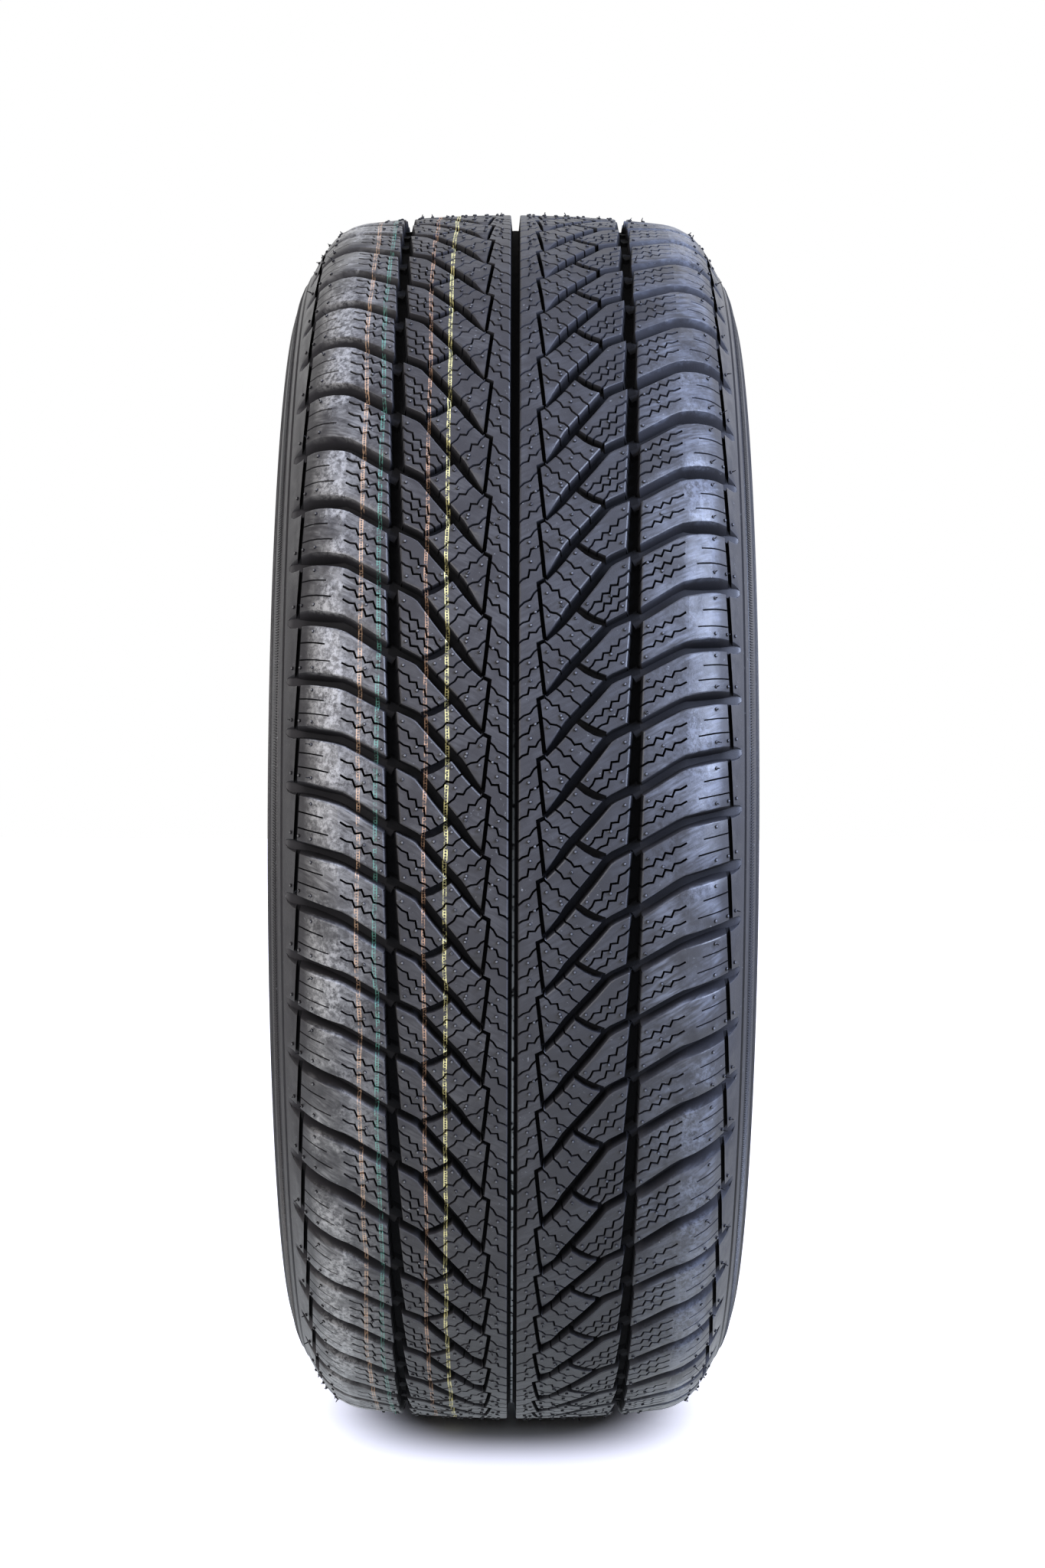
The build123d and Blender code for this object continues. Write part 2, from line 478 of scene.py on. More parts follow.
class PitchSheet:
    """One pitch of one half of the tread, as points (across, along, radius) and faces."""

    def __init__(self, kind):
        self.features = sheet_features(kind)
        self.flat, triangles, owners = triangulated(self.features)
        self.points = []
        self.depths = []
        self.faces = []
        self.made = {}
        self.read_levels(triangles, owners)
        self.read_walls(triangles)
        self.make_faces(triangles)

    def read_levels(self, triangles, owners):
        """Deepest feature of each triangle, and the levels that meet at each point."""
        self.owner = []
        self.inside = []
        self.levels = [{} for point in self.flat]
        for triangle, found in zip(triangles, owners):
            owner = max(found, key=lambda index: level_rank[self.features[index].level]) if found else 0
            self.owner.append(owner)
            self.inside.append(0 in found)
            for corner in triangle:
                self.levels[corner][self.features[owner].level] = owner

    def level_of(self, triangle):
        return self.features[self.owner[triangle]].level

    def read_walls(self, triangles):
        """Edges where the level changes, and the way into the lower side at each of their ends."""
        sides = {}
        for index, triangle in enumerate(triangles):
            for start, end in zip(triangle, triangle[1:] + triangle[:1]):
                sides.setdefault(tuple(sorted((start, end))), []).append(index)
        self.walls = []
        self.inward = {}
        for (start, end), owners in sides.items():
            if len(owners) < 2 or self.level_of(owners[0]) == self.level_of(owners[1]):
                continue
            upper, lower = sorted(owners, key=self.level_of)
            if self.inside[upper] and self.inside[lower]:
                self.walls.append((start, end, self.level_of(upper), self.level_of(lower)))
            middle = sum((self.flat[corner] for corner in triangles[lower]), Vector((0, 0))) / 3
            normal = (self.flat[end] - self.flat[start]).orthogonal().normalized()
            if normal.dot(middle - self.flat[start]) < 0:
                normal = -normal
            for corner in (start, end):
                self.inward.setdefault((corner, self.level_of(lower)), []).append(normal)

    def foot_offset(self, corner, level, feature):
        """How far a wall's foot stands in from its top edge: further where it faces up the tread."""
        normals = self.inward.get((corner, level))
        if not normals:
            return Vector((0, 0))
        mitre = sum(normals, Vector((0, 0))).normalized()
        draft = feature.draft + feature.lean * max(mitre.y, 0.0)
        if level == ANGLED:
            draft *= angled_depth(self.flat[corner].x) / angled_groove_depth
        squareness = min(mitre.dot(normal) for normal in normals)
        return mitre * draft / max(squareness, foot_mitre_limit)

    def corner_at(self, corner, level):
        """Index of the point of the finished sheet that stands at one corner and level."""
        if (corner, level) not in self.made:
            flat = self.flat[corner]
            feature = self.features[self.levels[corner].get(level, 0)]
            # shown_depth, times the feature's shade, sets how much shade is painted into the rubber at
            # this point
            depth = shown_depth = feature.depth
            if level == TOP:
                beside_groove = ANGLED in self.levels[corner] or RING in self.levels[corner]
                depth = edge_drop if beside_groove else 0.0
                shown_depth = depth + tip_drop(flat) * tip_shade
                depth += tip_drop(flat)
            elif level == SIPE:
                flat = sipe_floor_point(flat, feature.centre)
            else:
                flat = flat + self.foot_offset(corner, level, feature)
            if level == ANGLED:
                depth = angled_depth(flat.x)
                shown_depth = min(depth * upright_share(flat.x), angled_groove_depth)
            self.made[corner, level] = len(self.points)
            self.points.append((flat.x, flat.y, outer_face(flat.x) - depth))
            self.depths.append(shown_depth * feature.shade)
        return self.made[corner, level]

    def make_faces(self, triangles):
        """Block tops and floors, then the walls between them."""
        for index, triangle in enumerate(triangles):
            if self.inside[index]:
                self.faces.append([self.corner_at(corner, self.level_of(index)) for corner in triangle])
        for start, end, upper, lower in self.walls:
            start_up, end_up = self.corner_at(start, upper), self.corner_at(end, upper)
            start_low, end_low = self.corner_at(start, lower), self.corner_at(end, lower)
            self.faces.append([start_up, end_up, end_low, start_low])
            if upper != TOP:
                for corner, up, low in ((start, start_up, start_low), (end, end_up, end_low)):
                    if TOP in self.levels[corner]:
                        self.faces.append([self.corner_at(corner, TOP), up, low])


# Where the tread's rubber meets the carcass below it: across, radius. The seam is on the floor of
# the middle groove. Its points are counted from some steps ahead, level with the tread's edge.
seam_point = (seam_across, outer_face(seam_across) - ring_groove_depth)
edge_point = (tread_edge_across, outer_face(tread_edge_across))
base_points = [seam_point, (3.0, 306.4), (54.0, 301.6), (76.0, 302.4), (95.0, 293.0), edge_point]
seam_steps_ahead = 8
seam_skew = 2
column_count = pitch_count * edge_steps

# Clean-up of a mesh, in metres: points that close are one, and sharper edges than this stay sharp
merge_distance = 5e-6
shortest_edge = 1e-7
sharp_angle = math.radians(25)


def placed(name, data):
    """New object in the scene."""
    item = bpy.data.objects.new(name, data)
    bpy.context.scene.collection.objects.link(item)
    return item


def new_mesh(name, points, faces, depths=()):
    """Mesh that may hold each point's depth below the outer face, times its cut's shade, for the
    rubber's shading: it paints shade into the cuts and lays the rubber's other masks.
    """
    mesh = bpy.data.meshes.new(name)
    mesh.from_pydata(points, [], faces)
    if depths:
        mesh.attributes.new("depth", "FLOAT", "POINT").data.foreach_set("value", depths)
    return mesh


class RubberMesh:
    """Collects the points, depths and faces of one piece."""

    def __init__(self):
        self.points = []
        self.depths = []
        self.faces = []

    def add_sheets(self, sheets, side, lag):
        """All pitches of one half of the tread."""
        for pitch, kind in enumerate(pitch_order):
            first = len(self.points)
            for across, along, radius in sheets[kind].points:
                self.points.append(wrapped(across * side, pitch + along / short_pitch, radius, lag))
            self.depths += sheets[kind].depths
            self.faces += [[first + corner for corner in face] for face in sheets[kind].faces]

    def add_loop(self, across, radius, lag):
        """Circle of points round the wheel, as indices."""
        start, depth = tread_edge_along, 0.0
        if abs(across) == seam_across:
            start = border_start[0][1] + seam_steps_ahead * short_pitch / edge_steps
            depth = ring_groove_depth
        first = len(self.points)
        for column in range(column_count):
            self.points.append(wrapped(across, start / short_pitch + column / edge_steps, radius, lag))
        self.depths += [depth] * column_count
        return list(range(first, first + column_count))

    def add_rows(self, loops):
        """Faces between each circle of points and the next."""
        for loop, other in zip(loops, loops[1:]):
            for column in range(column_count):
                self.faces.append([loop[column - 1], loop[column], other[column], other[column - 1]])

    def add_base(self, side, lag):
        """Circles from the middle seam out to the tread's edge, under one half of the tread."""
        loops = [self.add_loop(across * side, radius, lag) for across, radius in base_points]
        self.add_rows(loops)
        return loops

    def make(self, name):
        """The finished piece, as one closed mesh."""
        mesh = new_mesh(name, self.points, self.faces, self.depths)
        shape = bmesh.new()
        shape.from_mesh(mesh)
        bmesh.ops.remove_doubles(shape, verts=shape.verts, dist=merge_distance)
        bmesh.ops.dissolve_degenerate(shape, edges=shape.edges, dist=shortest_edge)
        bmesh.ops.recalc_face_normals(shape, faces=shape.faces)
        shape.to_mesh(mesh)
        shape.free()
        mesh.shade_smooth()
        mesh.set_sharp_from_angle(angle=sharp_angle)
        return placed(name, mesh)


def make_tread(name, sheets, side, lag):
    """One half of the tread, closed underneath."""
    tread = RubberMesh()
    tread.add_sheets(sheets, side, lag)
    tread.add_base(side, lag)
    return tread.make(name)


# Sidewalls, beads and inner liner

def smoothed(corners, steps):
    """Catmull-Rom curve through some section points."""
    points = [Vector(corner) for corner in corners]
    result = []
    for index in range(len(points) - 1):
        before = points[max(index - 1, 0)]
        start, end = points[index], points[index + 1]
        after = points[min(index + 2, len(points) - 1)]
        for step in range(steps):
            share = step / steps
            bend = (end - before) * share + (2 * before - 5 * start + 4 * end - after) * share**2
            bend += (3 * start - before - 3 * end + after) * share**3
            result.append(start + bend / 2)
    return result + [points[-1]]


# Upper sidewall, as lateral place and height: a fine groove, a plain rib, a serrated rib, two rings
sidewall_ribs = [
    (103.0, 0.0), (104.0, 0.0), (104.15, -0.8), (104.5, -0.8), (104.65, 0.4), (106.2, 0.4),
    (106.4, -0.4), (106.7, -0.4), (106.9, 0.3), (108.6, 0.3), (108.8, 0.0), (109.6, 0.0),
    (110.6, 0.0), (110.64, 0.4), (110.76, 0.4), (110.8, 0.0), (111.5, 0.0), (111.54, 0.4),
    (111.63, 0.4), (111.67, 0.0), (112.2, 0.0),
]

# The rest of the section, as radius and lateral place: lower sidewall, bead, then up to the liner
lower_sidewall = [
    (262.0, 112.5), (252.0, 111.4), (247.5, 110.6), (244.5, 111.0), (241.5, 110.2),
    (237.5, 106.0), (233.0, 101.6), (228.0, 97.2), (224.0, 95.3),
]
bead_heel = [(221.3, 95.2), (219.4, 94.4), (218.45, 92.6), (218.3, 90.0)]
bead_toe = [(218.3, 76.6), (218.9, 75.5), (220.3, 75.3)]
inner_face = [
    (223.6, 77.6), (231.0, 88.4), (240.3, 98.2), (251.0, 103.2), (262.0, 104.5),
    (274.0, 102.4), (285.0, 97.0), (294.0, 87.5), (299.2, 74.0), (300.15, 55.0),
]
lower_sidewall_steps = 3
inner_face_steps = 2


def raised_face(across, height):
    """Section point some way out from the upper sidewall."""
    slope = Vector((face_change(across), lean_step)).normalized()
    return Vector((outer_face(across), across)) + Vector((slope.y, -slope.x)) * height


def section_points():
    """Half of the section, as (radius, lateral), from the tread's edge round the bead to the liner."""
    upper = [raised_face(across, height) for across, height in sidewall_ribs]
    lower = smoothed(lower_sidewall, lower_sidewall_steps)
    bead = [Vector(point) for point in bead_heel + bead_toe]
    return upper + lower + bead + smoothed(inner_face, inner_face_steps)


def make_carcass():
    """Sidewalls, beads and liner, from tread edge to tread edge, closed under the tread."""
    carcass = RubberMesh()
    right = section_points()
    loops = [carcass.add_loop(across, radius, 0.0) for radius, across in right]
    loops.append(carcass.add_loop(0.0, right[-1][0], left_side_lag / 2))
    loops += [carcass.add_loop(-across, radius, left_side_lag) for radius, across in reversed(right)]
    carcass.add_rows(loops)
    right_seam = carcass.add_base(1, 0.0)[0]
    left_seam = carcass.add_base(-1, left_side_lag)[0]
    carcass.add_rows([right_seam, left_seam[seam_skew:] + left_seam[:seam_skew]])
    return carcass.make("carcass")


# Serration of the outer rib: small slanted ridges all round both sidewalls
ridge_count = 1360
ridge_ends = (106.95, 108.55)
ridge_slant = 1.1
# Height and half thickness of a ridge, at its foot in the rib and at its crest
ridge_levels = [(0.1, 0.42), (0.85, 0.16)]
ridge_quads = [(0, 1, 3, 2), (4, 6, 7, 5), (0, 2, 6, 4), (1, 5, 7, 3), (0, 4, 5, 1), (2, 3, 7, 6)]


def make_ridges():
    """Every ridge, as a small closed block."""
    points, faces = [], []
    for side in (1, -1):
        for count in range(ridge_count):
            first = len(points)
            for height, half in ridge_levels:
                for across, shift in zip(ridge_ends, (0.0, ridge_slant)):
                    radius, lateral = raised_face(across, height)
                    for along in (-half, half):
                        angle = math.tau * count / ridge_count + (shift + along) / radius
                        points.append(standing(lateral * side, angle, radius))
            faces += [[first + corner for corner in quad[::side]] for quad in ridge_quads]
    return placed("sidewall_ridges", new_mesh("sidewall_ridges", points, faces))


# Vent spews: nibs of rubber that the mould's air holes leave, some with a thread still on them.
# Places are listed as across and along, as for the tread's features.
rib_spews = [(6.6, -22.3), (7.4, -30.6), (9.4, -24.6)]
middle_spews = [
    (32.4, 5.3), (48.2, 4.8), (49.2, 20.8), (43.0, 8.7), (27.3, -0.6), (35.2, -4.9),
    (25.7, -8.9), (20.8, -20.6), (15.2, -26.0), (21.3, -22.0), (14.6, -17.0),
]
inner_shoulder_spews = [(59.6, 22.8), (58.6, 7.8), (66.2, 19.6)]
outer_shoulder_spews = [(90.0, 21.9), (90.0, 10.9), (95.6, 23.3), (99.5, 24.8)]

# Threads of each group: the share of its nibs that have one, the shortest and the longest
spew_groups = [
    (rib_spews + middle_spews, (0.2, 0.8, 2.2)),
    (inner_shoulder_spews, (0.15, 1.2, 3.8)),
    (outer_shoulder_spews, (0.45, 1.2, 3.8)),
]
thread_radii = (0.3, 0.2)
thread_lean = 0.5
thread_twist = 1.5

# Rings of a nib from its sunken foot to its crest: height, radius, shade. The sides are painted with
# shade and the crest with a pale highlight
spew_side_shade = 3.4
spew_crest_highlight = -1.0
spew_rings = [
    (-0.2, 0.86, spew_side_shade),
    (0.4, 0.8, spew_side_shade),
    (0.75, 0.45, spew_crest_highlight),
]
spew_sides = 6
spew_clearance = 1.0
spew_seed = 17


class SpewMesh:
    """Collects every spew as points and faces."""

    def __init__(self):
        self.points = []
        self.depths = []
        self.faces = []
        self.chance = random.Random(spew_seed)

    def ring(self, middle, outward, radius, shade=spew_side_shade):
        """Circle of points round a middle, as indices."""
        side = outward.orthogonal().normalized()
        other = outward.cross(side)
        first = len(self.points)
        for count in range(spew_sides):
            angle = math.tau * count / spew_sides
            spoke = side * math.cos(angle) + other * math.sin(angle)
            self.points.append(middle + spoke * radius * MM)
        self.depths += [shade] * spew_sides
        return list(range(first, first + spew_sides))

    def stack(self, rings):
        """Faces between rings, closed at both ends."""
        for below, above in zip(rings, rings[1:]):
            for count in range(spew_sides):
                after = (count + 1) % spew_sides
                self.faces.append([below[count], below[after], above[after], above[count]])
        self.faces.append(rings[0][::-1])
        self.faces.append(rings[-1])

    def add(self, across, place, lag, thread):
        """One nib on the outer face, with a thread of some length or none."""
        radius = outer_face(across)
        lateral = math.copysign(face_change(abs(across)), across)
        angle = tread_angle(place, lag)
        forward, upward = math.cos(angle), math.sin(angle)
        outward = Vector((lean_step * forward, lateral, lean_step * upward)).normalized()
        foot = Vector((radius * forward, across, radius * upward)) * MM
        tip_height = foot.z + outward.z * max(thread, spew_clearance) * MM
        if min(foot.z, tip_height) < (floor_height + spew_clearance) * MM:
            return
        rings = []
        for height, size, shade in spew_rings:
            rings.append(self.ring(foot + outward * height * MM, outward, size, shade))
        self.stack(rings)
        if thread:
            self.add_thread(foot, outward, thread)

    def add_thread(self, foot, outward, length):
        """A thread that stands on its nib and leans over from halfway up."""
        lean = outward.orthogonal().normalized() * self.chance.uniform(-thread_lean, thread_lean)
        lean += outward.cross(lean) * self.chance.uniform(-thread_twist, thread_twist)
        tip = (outward + lean).normalized()
        low = self.ring(foot, outward, thread_radii[0])
        middle = self.ring(foot + outward * length / 2 * MM, outward, thread_radii[0])
        high = self.ring(foot + (outward + tip) * length / 2 * MM, tip, thread_radii[1])
        self.stack([low, middle, high])

    def thread_length(self, share, shortest, longest):
        """Length of one nib's thread, or none for those that were trimmed."""
        length = self.chance.uniform(shortest, longest)
        return length if self.chance.random() < share else 0.0


def make_spews():
    """Every nib of both halves, as one piece."""
    spews = SpewMesh()
    for side, lag in ((1, 0.0), (-1, left_side_lag)):
        for pitch in range(pitch_count):
            for places, threads in spew_groups:
                for across, along in places:
                    thread = spews.thread_length(*threads)
                    spews.add(across * side, pitch + along / short_pitch, lag, thread)
    mesh = new_mesh("vent_spews", spews.points, spews.faces, spews.depths)
    mesh.shade_smooth()
    return placed("vent_spews", mesh)


# Noise pattern: scale, detail, roughness, and the values at which it starts and is full
Pattern = namedtuple("Pattern", "scale detail roughness start full")


class Shading:
    """Short forms for the nodes of one material or world."""

    def __init__(self, owner, shader):
        owner.use_nodes = True
        self.tree = owner.node_tree
        self.shader = self.tree.nodes[shader]

    def give(self, name, value):
        """Link or set one input of the shader."""
        self.feed(self.shader.inputs[name], value)

    def node(self, kind, values=None):
        """New node, with some of its inputs linked or set."""
        node = self.tree.nodes.new(kind)
        for name, value in (values or {}).items():
            self.feed(node.inputs[name], value)
        return node

    def coordinates(self, kind):
        """Place on the object or in the world, and its three parts."""
        place = self.node("ShaderNodeTexCoord").outputs[kind]
        return place, self.node("ShaderNodeSeparateXYZ", {"Vector": place}).outputs

    def feed(self, socket, value):
        """Link a socket to another, or set it to a plain value."""
        if isinstance(value, bpy.types.NodeSocket):
            self.tree.links.new(value, socket)
        else:
            socket.default_value = value

    def math(self, operation, *values):
        node = self.node("ShaderNodeMath")
        node.operation = operation
        for socket, value in zip(node.inputs, values):
            self.feed(socket, value)
        return node.outputs[0]

    def chain(self, operation, values):
        """Any number of values, joined by one operation."""
        result = values[0]
        for value in values[1:]:
            result = self.math(operation, result, value)
        return result

    def product(self, *values):
        return self.chain("MULTIPLY", values)

    def total(self, *values):
        return self.chain("ADD", values)

    def largest(self, *values):
        return self.chain("MAXIMUM", values)

    def ramp(self, value, start, end):
        """Smooth rise from 0 at the start to 1 at the end, or a fall where the end is smaller."""
        low, high = sorted((start, end))
        limits = {"From Min": low, "From Max": high}
        results = {"To Min": float(start > end), "To Max": float(start < end)}
        node = self.node("ShaderNodeMapRange", {"Value": value, **limits, **results})
        node.interpolation_type = "SMOOTHSTEP"
        return node.outputs[0]

    def strip(self, value, rise, fall):
        """1 between a rise and a fall, and 0 beyond them."""
        return self.product(self.ramp(value, *rise), self.ramp(value, *fall))

    def noise(self, place, scale, detail, roughness):
        values = {"Vector": place, "Scale": scale, "Detail": detail, "Roughness": roughness}
        return self.node("ShaderNodeTexNoise", values).outputs[0]

    def swing(self, place, noise, size):
        """Noise that swings about 0."""
        return self.product(self.math("SUBTRACT", self.noise(place, *noise), 0.5), size)

    def pattern(self, place, kind):
        """Patches of noise, as a share from 0 to 1."""
        noise = self.noise(place, kind.scale, kind.detail, kind.roughness)
        return self.ramp(noise, kind.start, kind.full)

    def vector(self, *parts):
        return self.node("ShaderNodeCombineXYZ", dict(zip("XYZ", parts))).outputs[0]

    def blend(self, share, below, above):
        """Colour between two others."""
        node = self.node("ShaderNodeMix")
        node.data_type = "RGBA"
        for name, value in (("Factor", share), ("A", below), ("B", above)):
            self.feed(node.inputs[name], value)
        return node.outputs["Result"]

    def bump(self, height, strength, distance):
        values = {"Height": height, "Strength": strength, "Distance": distance}
        return self.node("ShaderNodeBump", values).outputs[0]


# Colours of the rubber on each half, the right one painted darker and bluer for the cooler light on it,
# of the shade painted in the grooves, and of what lies on it: bloom that also paints the side lights'
# sheen, dust and chalk
left_lit_rubber = (0.0255, 0.0241, 0.0270, 1)
right_lit_rubber = (0.0232, 0.0230, 0.0268, 1)
# Near black, painted into the cuts as shade
painted_groove_shade = (0.0055, 0.0055, 0.0065, 1)
# Bloom colours, which also paint the sheen of the side lights: the right one is bluish like the light
# on that side
left_bloom_and_sheen = (0.30, 0.296, 0.30, 1)
right_bloom_and_sheen = (0.16, 0.175, 0.22, 1)
dust_colour = (0.24, 0.25, 0.27, 1)
chalk_colour = (0.62, 0.66, 0.70, 1)

# Patterns on the rubber
bloom_clouds = Pattern(55.0, 4.0, 0.6, 0.36, 0.66)
bloom_streaks = Pattern(95.0, 3.0, 0.6, 0.3, 0.68)
polish = Pattern(21.0, 6.0, 0.62, 0.44, 0.57)
mottle = Pattern(420.0, 6.0, 0.75, 0.36, 0.62)
dust_specks = Pattern(620.0, 2.0, 0.6, 0.66, 0.76)
dust_patches = Pattern(70.0, 2.0, 0.5, 0.42, 0.68)
paint_wear = Pattern(300.0, 3.0, 0.65, 0.36, 0.6)
chalk_breaks = Pattern(240.0, 2.0, 0.6, 0.36, 0.5)
film_stains = Pattern(38.0, 4.0, 0.65, 0.4, 0.58)
streak_slant = -0.55
streak_stretch = 6.0

# Plain noise, as scale, detail and roughness, and how far it swings
wobble_noise = (14.0, 2.0, 0.5)
wobble_size = 0.006
gloss_noise = (130.0, 3.0, 0.6)
gloss_size = 0.3
grain_noise = (1500.0, 3.0, 0.6)
grain_strength = 0.25
grain_height = 0.0004

# Where each thing starts and is full, in metres: across the tread, out from the axis, and up
halves_meet = (-0.05, 0.05)
shoulder_rise, shoulder_fall = (0.05, 0.072), (0.094, 0.0905)
turn_rise, turn_fall = (0.074, 0.079), (0.092, 0.086)
stain_rise, stain_fall = (0.05, 0.08), (0.104, 0.1)
tread_fall = (0.104, 0.098)
sidewall_rise = (0.1, 0.104)
chalk_fall = (0.0007, 0.0002)
outside_rise = (0.301, 0.303)
chalk_heights = (0.1, -0.12)

# Depths at which each thing starts and is full
top_depths = (1.6, 0.2)
lit_depths = (4.5, 0.5)
edge_rise, edge_fall = (0.05, 0.25), (0.9, 0.35)
crest_depths = (-0.2, -0.9)
film_depths = (0.5, 0.1)
chalk_depths = (6.5, 7.8)

# How strong each thing is
shoulder_bloom_and_sheen = 0.4
tread_bloom = 0.08
least_bloom = 0.02
edge_highlight = 0.07
crest_highlight = 0.3
left_mottle, right_mottle = 0.9303, 0.5242
plain_mottle = 0.5
dust_strength = 0.5
chalk_strength = 0.85
stain_film = 0.36
sidewall_film = 0.18
least_film = 0.38
film_roughness = 0.42
rubber_roughness = 0.47
bloom_polish = 0.2
groove_roughness = 0.4
rubber_specular = 0.1

# Painted marking lines round the left half: lateral place, gap between twin strokes, colour, strength
marking_lines = [
    (-68.8, 1.3, (0.74, 0.47, 0.30, 1), 0.54),
    (-61.0, 1.3, (0.15, 0.42, 0.34, 1), 0.48),
    (-39.5, 1.2, (0.68, 0.40, 0.25, 1), 0.5),
    (-30.1, 1.3, (0.80, 0.72, 0.32, 1), 0.8),
]
marking_stroke = 0.38
marking_blur = 0.07
marking_rung = 1.3
rung_wave = (0.1, 0.8)
rung_strength = 0.7


class RubberShading(Shading):
    """Rubber with bloom, painted sheen and dust on its block tops, painted highlights on edges and
    nibs, marking lines, grooves painted black and a waxy film.
    """

    def __init__(self, material):
        super().__init__(material, "Principled BSDF")
        self.place, (forward, self.lateral, self.upward) = self.coordinates("Object")
        self.side = self.math("ABSOLUTE", self.lateral)
        self.around = self.product(self.math("ARCTAN2", self.upward, forward), outer_radius * MM)
        depth_node = self.node("ShaderNodeAttribute")
        depth_node.attribute_name = "depth"
        self.depth = depth_node.outputs["Fac"]
        self.top = self.ramp(self.depth, *top_depths)
        # Where the rubber keeps its colour; deeper in the cuts it is painted towards black shade
        self.lit = self.ramp(self.depth, *lit_depths)
        self.half = self.ramp(self.lateral, *halves_meet)
        squares = [self.product(part, part) for part in (forward, self.upward)]
        self.outside = self.ramp(self.math("SQRT", self.total(*squares)), *outside_rise)

    def bloom_and_sheen(self):
        """Share of pale bloom and painted sheen: clouds and streaks, strongest on the shoulders where
        they paint the side lights' sheen, mottled sheen on the shoulders, and painted highlights on
        edges and crests.
        """
        slant = self.total(self.around, self.product(self.side, streak_slant))
        streak_place = self.vector(self.product(slant, streak_stretch), self.side, 0.0)
        streaks = self.pattern(streak_place, bloom_streaks)
        # Bloom clouds are strongest on the shoulders, where they paint the sheen of the side lights
        shoulder = self.product(self.strip(self.side, shoulder_rise, shoulder_fall), self.outside)
        tread = self.product(self.outside, self.ramp(self.side, *tread_fall), tread_bloom)
        amount = self.total(self.product(shoulder, shoulder_bloom_and_sheen), tread, least_bloom)
        clouds = self.product(self.pattern(self.place, bloom_clouds), streaks, self.top, amount)
        # Mottled patches on the shoulders, partly bloom and partly painted sheen, twice as strong along
        # the turn where the side lights reflect, and stronger on the left half
        turn = self.strip(self.side, turn_rise, turn_fall)
        on_turn = self.total(self.product(turn, 1 - plain_mottle), plain_mottle)
        on_half = self.total(self.product(self.half, right_mottle - left_mottle), left_mottle)
        patches = self.product(self.pattern(self.place, polish), self.pattern(self.place, mottle))
        patches = self.product(patches, shoulder, self.top, on_half, on_turn)
        # Painted highlight along the bevels at the block edges
        edge = self.product(self.strip(self.depth, edge_rise, edge_fall), edge_highlight)
        # Painted highlight on the crests of the nibs
        crest = self.product(self.ramp(self.depth, *crest_depths), crest_highlight)
        return self.largest(clouds, patches, edge, crest)

    def marking_line(self, centre, gap, wobble):
        """Share of one marking line: twin strokes with rungs between them."""
        from_centre = self.math("SUBTRACT", self.total(self.lateral, wobble), centre * MM)
        offset = self.math("ABSOLUTE", from_centre)
        from_stroke = self.math("ABSOLUTE", self.math("SUBTRACT", offset, gap / 2 * MM))
        half_stroke = marking_stroke / 2
        stroke_edges = (half_stroke + marking_blur, half_stroke - marking_blur)
        stroke = self.ramp(from_stroke, *[edge * MM for edge in stroke_edges])
        wave = self.math("SINE", self.product(self.around, math.tau / (marking_rung * MM)))
        between = self.ramp(offset, gap / 2 * MM, gap / 3 * MM)
        rungs = self.product(self.ramp(wave, *rung_wave), between, rung_strength)
        return self.largest(stroke, rungs)

    def chalk(self):
        """Share of a chalky thread of mould dust on the middle groove's floor."""
        thread = self.product(self.ramp(self.side, *chalk_fall), self.ramp(self.depth, *chalk_depths))
        lower = self.ramp(self.upward, *chalk_heights)
        return self.product(thread, self.pattern(self.place, chalk_breaks), lower, chalk_strength)

    def colour(self, bloom_and_sheen):
        """Rubber with bloom, painted sheen and dust, painted dark in the grooves, then the marking
        lines and the chalk.
        """
        rubber = self.blend(self.half, left_lit_rubber, right_lit_rubber)
        colour = self.blend(bloom_and_sheen, rubber, self.blend(self.half, left_bloom_and_sheen, right_bloom_and_sheen))
        specks, patches = (self.pattern(self.place, kind) for kind in (dust_specks, dust_patches))
        dust = self.product(specks, patches, self.top, dust_strength)
        colour = self.blend(self.lit, painted_groove_shade, self.blend(dust, colour, dust_colour))
        wobble = self.swing(self.place, wobble_noise, wobble_size)
        painted = self.product(self.pattern(self.place, paint_wear), self.outside)
        for centre, gap, paint, strength in marking_lines:
            mask = self.product(self.marking_line(centre, gap, wobble), painted, strength)
            colour = self.blend(mask, colour, paint)
        return self.blend(self.chalk(), colour, chalk_colour)

    def roughness(self, bloom_and_sheen):
        """Smoother where bloom and sheen are painted, and dull in the grooves."""
        gloss = self.swing(self.place, gloss_noise, gloss_size)
        dull = self.product(self.math("SUBTRACT", 1.0, self.lit), groove_roughness)
        return self.total(gloss, rubber_roughness, self.product(bloom_and_sheen, -bloom_polish), dull)

    def film(self):
        """Share of a waxy film on the outer faces: most on the shoulders, and none in the grooves."""
        stain = self.product(self.pattern(self.place, film_stains), stain_film)
        stain = self.product(stain, self.strip(self.side, stain_rise, stain_fall))
        sidewall = self.product(self.ramp(self.side, *sidewall_rise), sidewall_film)
        film = self.total(sidewall, stain, least_film)
        return self.product(film, self.ramp(self.depth, *film_depths))


def rubber_material():
    """The one material of every piece of the tyre, with a fine grain all over."""
    material = bpy.data.materials.new("rubber")
    shading = RubberShading(material)
    bloom_and_sheen = shading.bloom_and_sheen()
    shading.give("Base Color", shading.colour(bloom_and_sheen))
    shading.give("Roughness", shading.roughness(bloom_and_sheen))
    shading.give("Specular IOR Level", rubber_specular)
    shading.give("Coat Weight", shading.film())
    shading.give("Coat Roughness", film_roughness)
    grain = shading.noise(shading.place, *grain_noise)
    normal = shading.bump(grain, grain_strength, grain_height)
    shading.give("Normal", normal)
    shading.give("Coat Normal", normal)
    return material


